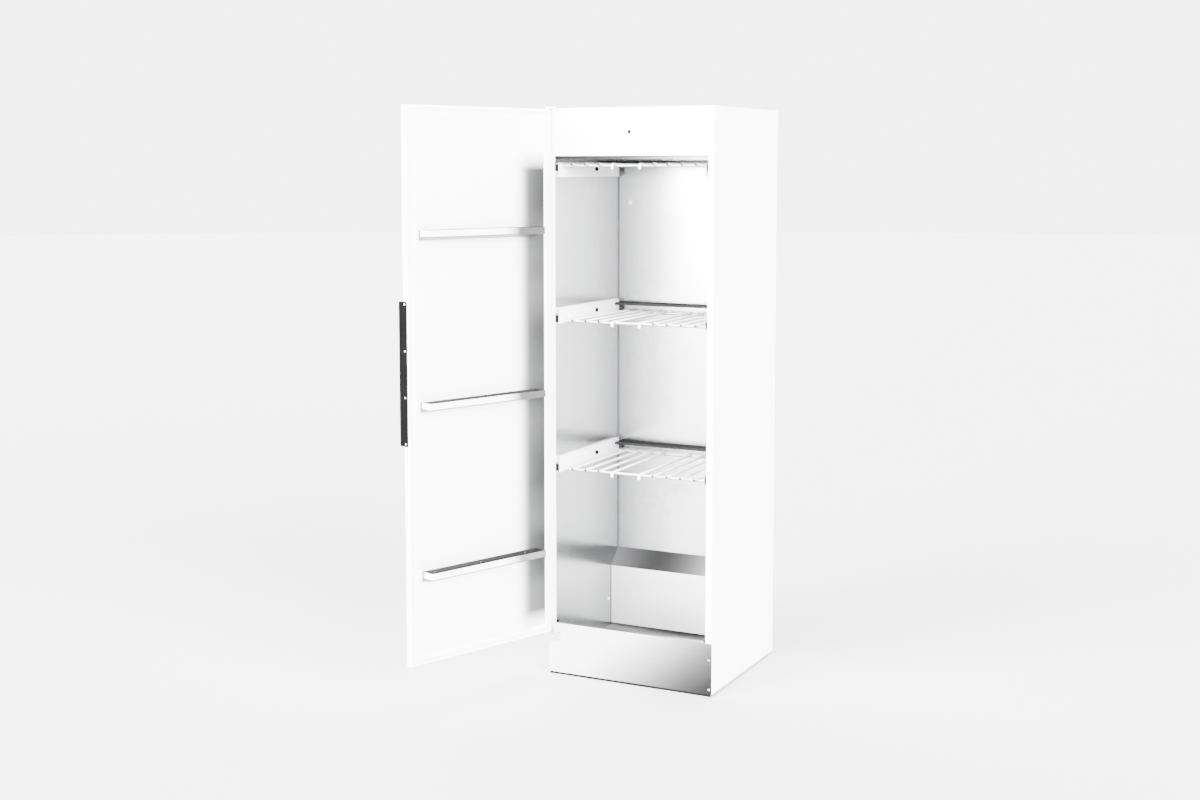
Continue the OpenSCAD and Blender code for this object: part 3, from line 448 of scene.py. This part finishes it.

# the lining has painted shade in its left rear corner and a painted reflection further from it
LINING = spangled("aluzinc_lining", (0.675, 0.68, 0.685), (0.64, 0.645, 0.65), size=0.011,
                  rough=(0.19, 0.25), shade=lining_painted_light)
# the duct cover has painted shade on its slope
COVER = spangled("aluzinc_cover", (0.93, 0.935, 0.94), (0.90, 0.905, 0.91), size=0.010,
                 rough=(0.30, 0.38), metal=0.40, shade=cover_painted_shade)
# the ceiling is painted darker than the lining as shade, and has the head's painted shade
CEILING = spangled("aluzinc_ceiling", (0.62, 0.625, 0.63), (0.56, 0.565, 0.57), size=0.011,
                   rough=(0.30, 0.40), metal=0.2, gloss=0.0, shade=head_painted_shade)
# the cavity's floor has painted shade
FLOOR_SHEET = spangled("aluzinc_floor", (0.80, 0.805, 0.81), (0.73, 0.735, 0.74), size=0.010,
                       rough=(0.30, 0.40), metal=0.2, gloss=0.0, shade=floor_painted_shade)
# the door's lining has painted shade near its hinge
DOOR_LINING = spangled("aluzinc_door", (0.95, 0.955, 0.96), (0.92, 0.925, 0.93), size=0.011,
                       rough=(0.40, 0.48), metal=0.3, shade=hinge_painted_shade)
# each trough's sheet is painted dark inside and along its edges as shade
TROUGHS = [spangled("trough_sheet_" + r, (0.95, 0.955, 0.96), (0.92, 0.925, 0.93), size=0.014,
                    rough=(0.40, 0.46), metal=0.35, rolling=0.02,
                    shade=trough_painted_shade(top, near_hinge_shade, lip_foot_shade))
           for r, top, near_hinge_shade, lip_foot_shade in zip(RACKS, TROUGH_TOPS, (0.86, 0.955, 0.965),
                                                   (0.92, 0.90, 0.90))]
GALVANISED = spangled("galvanised_sheet", (0.40, 0.41, 0.42), (0.24, 0.25, 0.26), size=0.018,
                      rough=(0.34, 0.52))
# the plinth's satin steel has a painted reflection and painted shade
SATIN = brushed("satin_steel", (0.93, 0.93, 0.93), (0.83, 0.83, 0.83),
                grain=(9.0, 1500.0, 1500.0), rough=(0.26, 0.40), shade=plinth_painted_reflection)

ZINC = plated("zinc_plating", (0.78, 0.78, 0.76), (0.58, 0.58, 0.55))
# a copy of the zinc plating painted dark as shade, for the rivets inside the troughs
SHADED_ZINC = plated("zinc_in_painted_shade", (0.16, 0.16, 0.155), (0.10, 0.10, 0.095), rough=(0.4, 0.5))
HEATER = plated("heater_sheath", (0.42, 0.40, 0.38), (0.25, 0.22, 0.20), rough=(0.35, 0.55))

BLACK = moulded("black_moulding", (0.010, 0.010, 0.010), (0.006, 0.006, 0.006), gloss=0.0)
GREY_PLASTIC = moulded("grey_moulding", (0.42, 0.43, 0.44), (0.35, 0.36, 0.37))
WHITE_PLASTIC = moulded("white_moulding", (0.86, 0.86, 0.84), (0.80, 0.80, 0.78), strength=0.15)
PLUG_WHITE = moulded("plug_white", (0.95, 0.95, 0.94), (0.92, 0.92, 0.91), rough=(0.35, 0.45),
                     strength=0.1)
PHENOLIC = moulded("phenolic", (0.16, 0.07, 0.04), (0.10, 0.04, 0.02), rough=(0.25, 0.4))
RUBBER = moulded("silicone_seal", (0.80, 0.80, 0.78), (0.72, 0.72, 0.70), rough=(0.5, 0.7),
                 grain=700, strength=0.4)
SEALANT = moulded("grey_sealant", (0.13, 0.13, 0.132), (0.09, 0.09, 0.092), rough=(0.5, 0.7),
                  gloss=0.1)
WOOL = fibre("mineral_fibre", (0.78, 0.70, 0.45), (0.55, 0.47, 0.26))

LOOK = {
    "left_side_panel": WHITE, "right_side_panel": WHITE, "top_panel": WHITE, "fascia": WHITE,
    "back_panel": GALVANISED, "base_tray": GALVANISED, "adjustable_feet": BLACK,
    "plinth_panel": SATIN, "casing_screws": ZINC,
    "liner_left": LINING, "liner_right": LINING, "liner_back": LINING,
    "liner_ceiling": CEILING, "ceiling_grille": CEILING, "floor_tray": FLOOR_SHEET,
    "lower_duct_cover": COVER, "rear_duct_walls": GALVANISED, "fixing_plugs": WHITE_PLASTIC,
    "wall_runners": RACK_WHITE, "runner_end_caps": BLACK, "rear_rails": DARK,
    "lower_hinge_bracket": ZINC, "upper_hinge_bracket": ZINC, "door_bushes": WHITE_PLASTIC,
    "door_pan": WHITE, "door_liner": DOOR_LINING, "door_core": WOOL, "door_gasket": RUBBER,
    "door_handle": HANDLE, "handle_screws": ZINC, "trough_rivets": ZINC,
    "fan_housing": GALVANISED, "fan_motor": MOTOR, "impeller": BLACK, "heater_element": HEATER,
    "overheat_thermostat": PHENOLIC, "control_box": GREY_PLASTIC, "button_bezel": BLACK,
    "start_button": BLACK, "exhaust_collar": GALVANISED, "cable_gland": BLACK,
    "terminal_block": WHITE_PLASTIC,
}
for rack, trough in zip(RACKS, TROUGHS):
    LOOK["trough_" + rack] = trough
    for part, look in (("rack_grid_", RACK_WHITE), ("rack_rails_", RACK_WHITE),
                       ("rack_caps_", BLACK), ("front_rollers_", BLACK),
                       ("rear_rollers_", BLACK)):
        LOOK[part + rack] = look
for n, o in nodes.items():
    o.data.materials.clear()
    o.data.materials.append(LOOK[n])


# ---- mesh helpers ----

def add_object(name, data):
    o = bpy.data.objects.new(name, data)
    bpy.context.scene.collection.objects.link(o)
    return o


def piece(name, bm, material, body, matrix=TO_FRAME, angle=35):
    """Makes an object of a mesh, with edges sharp from an angle on, and puts it on a body."""
    bmesh.ops.recalc_face_normals(bm, faces=bm.faces)
    me = bpy.data.meshes.new(name)
    bm.to_mesh(me)
    bm.free()
    me.transform(matrix)
    me.materials.append(material)
    for f in me.polygons:
        f.use_smooth = True
    me.set_sharp_from_angle(angle=math.radians(angle))
    o = add_object(name, me)
    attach(o, body)
    return o


def aim(point, direction, spin=0.0):
    """A matrix that puts local Z along direction at point."""
    q = Vector(direction).to_track_quat("Z", "Y")
    return Matrix.Translation(point) @ q.to_matrix().to_4x4() @ Matrix.Rotation(spin, 4, "Z")


def ring(bm, place, height, radii):
    """Points round Z at a height, one for each radius, placed with a matrix."""
    turn = 2 * math.pi / len(radii)
    return [bm.verts.new(place @ Vector((r * math.cos(turn * k), r * math.sin(turn * k), height)))
            for k, r in enumerate(radii)]


def skin(bm, a, b):
    """Joins two outlines with faces; one of them may be a single point."""
    sides = max(len(a), len(b))
    for k in range(sides):
        j = (k + 1) % sides
        if len(a) == 1:
            bm.faces.new((a[0], b[j], b[k]))
        elif len(b) == 1:
            bm.faces.new((a[k], a[j], b[0]))
        else:
            bm.faces.new((a[k], a[j], b[j], b[k]))


def lathe(bm, profile, place, sides):
    """Turns (radius, height) points round Z and places the result with a matrix."""
    rings = [ring(bm, place, h, [r] * (sides if r else 1)) for r, h in profile]
    for a, b in zip(rings, rings[1:]):
        skin(bm, a, b)


def prism(bm, *ends):
    """Closes a solid between two outlines."""
    a, b = ([bm.verts.new(point) for point in outline] for outline in ends)
    skin(bm, a, b)
    bm.faces.new(a[::-1])
    bm.faces.new(b)


# ---- screws and rivets ----

SCREW_R, SHANK_R, SHANK_L = 0.0034, 0.0018, 0.0079
HANDLE_HEAD, CASING_HEAD, RUNNER_HEAD = 0.0018, 0.0015, 0.0012
# shares of the head's radius and height: its dome, its cross and the recess
DOME = ((1.0, 0.0), (1.0, 0.35), (0.93, 0.62), (0.80, 0.82))
CROSS_ARM, CROSS_SLOT = SCREW_R * 0.62, SCREW_R * 0.15
RECESS_FLOOR, RECESS_TAPER = 0.38, 0.55


def cross(angle):
    """The radius of the cross recess at an angle."""
    c, s = abs(math.cos(angle)), abs(math.sin(angle))
    return min(CROSS_ARM / max(c, s), max(CROSS_SLOT / max(min(c, s), 1e-6), CROSS_SLOT * 1.6))


def pan_head(bm, place, height, shank):
    """A domed screw with a pressed cross recess: its seat is at height 0, its shank below."""
    sides = 32
    recess = [cross(2 * math.pi * k / sides) for k in range(sides)]
    profile = [(SHANK_R, -shank), (SHANK_R, 0.0)] + [(SCREW_R * u, height * v) for u, v in DOME]
    rings = [ring(bm, place, h, [r] * sides) for r, h in profile]
    rings.append(ring(bm, place, height, recess))
    rings.append(ring(bm, place, height * RECESS_FLOOR, [r * RECESS_TAPER for r in recess]))
    for a, b in zip(rings, rings[1:]):
        skin(bm, a, b)
    bm.faces.new(rings[0][::-1])
    bm.faces.new(rings[-1])


# the handle's screws, evenly spaced; each is turned on from the one before it
HANDLE_SCREWS, HANDLE_SCREW_END, HANDLE_SCREW_Y, HANDLE_SHANK_L = 4, 0.0085, -0.010, 0.0071
HANDLE_SPIN, HANDLE_SPIN_STEP = 0.4, 0.7
pitch = (HANDLE_L - 2 * HANDLE_SCREW_END) / (HANDLE_SCREWS - 1)
bm = bmesh.new()
for i in range(HANDLE_SCREWS):
    spot = (DOOR_X1 + HANDLE_T, HANDLE_SCREW_Y, HANDLE_LOW + HANDLE_SCREW_END + i * pitch)
    spin = HANDLE_SPIN + HANDLE_SPIN_STEP * i
    pan_head(bm, aim(spot, (1, 0, 0), spin), HANDLE_HEAD, HANDLE_SHANK_L)
screws = piece("handle_screw_heads", bm, ZINC, "door", TO_OPEN)
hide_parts("handle_screws")

# the casing's screws: in the plinth, in both hinge brackets and in the runners
PLINTH_SCREW_X, PLINTH_SCREW_LOW, PLINTH_SCREW_DROP = 0.009, 0.024, 0.055
BRACKET_T, BRACKET_SCREW_DROP = 0.003, 0.024
LOWER_BRACKET_XS, UPPER_BRACKET_X, UPPER_BRACKET_YS = (0.016, 0.036), 0.030, (0.012, 0.030)
RUNNER_FACE, RUNNER_SCREW_YS = 0.0232, (0.046, 0.420)
CASING_SPIN, CASING_SPIN_STEP = 1.2, 0.9
FRONT, UP = (0, -1, 0), (0, 0, 1)
far = BODY_W - PLINTH_SCREW_X
plinth_spots = ((PLINTH_SCREW_X, PLINTH_SCREW_LOW), (far, PLINTH_SCREW_LOW),
                (far, PLINTH_TOP - PLINTH_SCREW_DROP))
runner_faces = ((RUNNER_FACE, 1), (BODY_W - RUNNER_FACE, -1))
spots = [((x, 0, z), FRONT, CASING_HEAD, SHANK_L) for x, z in plinth_spots]
spots += [((x, -BRACKET_T, DOOR_LOW - BRACKET_SCREW_DROP), FRONT, CASING_HEAD,
           SHANK_L + BRACKET_T) for x in LOWER_BRACKET_XS]
spots += [((UPPER_BRACKET_X, y, BODY_H + BRACKET_T), UP, CASING_HEAD, SHANK_L)
          for y in UPPER_BRACKET_YS]
spots += [((x, y, level), (side, 0, 0), RUNNER_HEAD, SHANK_L)
          for level in LEVELS for y in RUNNER_SCREW_YS for x, side in runner_faces]
bm = bmesh.new()
for i, (spot, way, height, shank) in enumerate(spots):
    pan_head(bm, aim(spot, way, CASING_SPIN + CASING_SPIN_STEP * i), height, shank)
screws = piece("casing_screw_heads", bm, ZINC, "cabinet")
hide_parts("casing_screws")

# three blind rivets under the upper edge of each trough, at shares of its length; their zinc is
# painted dark as shade, like the trough's inside
RIVET_DROP, RIVET_PLACES = 0.010, (0.1, 0.5, 0.9)
RIVET = [(0.0, -0.002), (0.002, -0.002), (0.002, 0.0), (0.0036, 0.0), (0.0036, 0.0003),
         (0.0031, 0.0007), (0.0021, 0.0009), (0.0012, 0.0009), (0.0011, 0.0003), (0.0, 0.0002)]
bm = bmesh.new()
for top in TROUGH_TOPS:
    for part in RIVET_PLACES:
        spot = (DOOR_X0 + TROUGH_START + part * TROUGH_L, DOOR_IN, top - RIVET_DROP)
        lathe(bm, RIVET, aim(spot, (0, 1, 0)), sides=24)
rivets = piece("blind_rivets", bm, SHADED_ZINC, "door", TO_OPEN)
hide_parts("trough_rivets")


# ---- seals, trim and plugs ----

WALLS = ((JAMB_W, 1), (BODY_W - JAMB_W, -1))


def fillet(r, sides=8):
    """The outline of a hollow bead of radius r in the corner at (0, 0)."""
    arc = [math.pi / 2 * k / sides for k in range(sides + 1)]
    return [(0.0, 0.0)] + [(r * (1 - math.sin(a)), r * (1 - math.cos(a))) for a in arc]


# sealant in the rear corners and beside the duct cover: its Y, its two heights, its radius
BEADS = ((LINER_Y, COVER_TOP + 0.001, CEILING_Z - 0.0005, 0.0040),
         (COVER_Y, COVER_LOW, COVER_EDGE - 0.001, 0.0022))
bm = bmesh.new()
for x, side in WALLS:
    for y, low, high, r in BEADS:
        prism(bm, *([(x + side * u, y - v, z) for u, v in fillet(r)] for z in (low, high)))
piece("corner_beads", bm, SEALANT, "cabinet", angle=50)

# a dark strip under the fascia, from one jamb to the other, put where shade falls under the fascia
HEAD_GAP, HEAD_Y, HEAD_DROP = 0.0006, 0.0135, 0.0101
HEAD_LIP = [(0.0, 0.0), (0.0022, 0.0), (0.0022, 0.0088), (0.0016, 0.0100), (0.0006, 0.0100),
            (0.0, 0.0092)]
bm = bmesh.new()
prism(bm, *([(x, HEAD_Y + u, FASCIA_LOW - HEAD_DROP + v) for u, v in HEAD_LIP]
            for x in (JAMB_W + HEAD_GAP, BODY_W - JAMB_W - HEAD_GAP)))
piece("head_shadow_strip", bm, HEAD_SHADOW_STRIP, "cabinet", angle=50)

# a black strip along the foot of the plinth, put where the shadow under the plinth falls
FOOT_GAP = 0.004
FOOT_STRIP = [(0.0015, 0.0006), (0.0050, 0.0006), (0.0050, 0.0079), (0.0012, 0.0079),
              (0.0008, 0.0040)]
bm = bmesh.new()
prism(bm, *([(x, u, v) for u, v in FOOT_STRIP] for x in (FOOT_GAP, BODY_W - FOOT_GAP)))
piece("foot_shadow_strip", bm, BLACK, "cabinet", angle=50)

# two buffers on the plinth that the shut door meets
BUFFER_X, BUFFER_Y = 0.006, 0.010
BUFFER = [(0.0, -0.0005), (0.0032, -0.0005), (0.0032, 0.002), (0.0046, 0.0028), (0.0050, 0.0045),
          (0.0044, 0.0062), (0.0026, 0.0072), (0.0, 0.0075)]
bm = bmesh.new()
for x, side in WALLS:
    place = Matrix.Translation((x + side * BUFFER_X, BUFFER_Y, PLINTH_TOP))
    lathe(bm, BUFFER, place, sides=28)
piece("door_buffers", bm, BLACK, "cabinet")

# domed plugs in the rear lining and, smaller, in both side linings
PLUG_R, SIDE_PLUG_R, SIDE_PLUG_Y, SIDE_PLUG_Z = 0.0080, 0.0062, 0.410, 0.1616
PLUG = [(0.0, -0.5), (0.42, -0.5), (0.45, 0.0), (1.0, 0.0), (1.0, 0.08), (0.95, 0.16),
        (0.82, 0.26), (0.62, 0.35), (0.38, 0.40), (0.0, 0.42)]
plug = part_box("fixing_plugs")
plug_z = (plug[0].z + plug[1].z) / 2
places = [(PLUG_R, aim((x - CORNER.x, LINER_Y, plug_z), FRONT))
          for x in (plug[0].x + PLUG_R, plug[1].x - PLUG_R)]
places += [(SIDE_PLUG_R, aim((x, SIDE_PLUG_Y, SIDE_PLUG_Z), (side, 0, 0))) for x, side in WALLS]
bm = bmesh.new()
for r, place in places:
    lathe(bm, [(r * u, r * v) for u, v in PLUG], place, sides=40)
plugs = piece("domed_plugs", bm, PLUG_WHITE, "cabinet")
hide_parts("fixing_plugs")


# ---- camera, floor and light ----

# the camera in the casing's coordinates, and how far it looks down and to the left in degrees
EYE = (2.5818, -4.7754, 1.7004)
PITCH, YAW = 5.527, 26.576
cam_data = bpy.data.cameras.new("camera")
cam_data.sensor_width = 36.0
cam_data.lens = 49.162
cam_data.shift_y = -0.06
camera = add_object("camera", cam_data)
camera.location = (EYE[0] - BODY_W / 2, EYE[1] - BODY_D / 2, EYE[2])
camera.rotation_euler = (math.radians(90.0 - PITCH), 0.0, math.radians(YAW))
bpy.context.scene.camera = camera

bm = bmesh.new()
bmesh.ops.create_circle(bm, cap_ends=True, radius=40.0, segments=96)
me = bpy.data.meshes.new("floor")
bm.to_mesh(me)
bm.free()
floor = add_object("floor", me)
paint = Shade("pale_floor")
paint.colour(paint.noise(0.8), (0.655, 0.655, 0.65), (0.64, 0.64, 0.635))
paint.set(Roughness=0.95, Specular_IOR_Level=0.1)
me.materials.append(paint.m)

# the sky is brighter low down than high up
SKY = {"From Min": 0.12, "From Max": 0.60, "To Min": 5.7, "To Max": 4.0}
world = bpy.data.worlds.new("studio")
bpy.context.scene.world = world
world.use_nodes = True
tree = world.node_tree
sky = tree.nodes["Background"]
sky.inputs["Color"].default_value = (0.99, 0.99, 1.0, 1.0)
split = tree.nodes.new("ShaderNodeSeparateXYZ")
fade = tree.nodes.new("ShaderNodeMapRange")
for name, value in SKY.items():
    fade.inputs[name].default_value = value
sky_coords = tree.nodes.new("ShaderNodeTexCoord").outputs["Generated"]
tree.links.new(sky_coords, split.inputs["Vector"])
tree.links.new(split.outputs["Z"], fade.inputs["Value"])
tree.links.new(fade.outputs["Result"], sky.inputs["Strength"])

# far, soft lights: where each comes from, its irradiance and its spread in degrees
SUNS = {"key": ((-0.45, -0.89, 0.22), 31.0, 44), "fill": ((0.86, -0.50, 0.22), 30.0, 44),
        "back": ((-0.75, 0.60, 0.28), 11.0, 50)}
for name, (direction, irradiance, spread) in SUNS.items():
    sun = bpy.data.lights.new(name, "SUN")
    sun.energy = irradiance
    sun.angle = math.radians(spread)
    add_object(name, sun).rotation_euler = Vector(direction).to_track_quat("Z", "Y").to_euler()
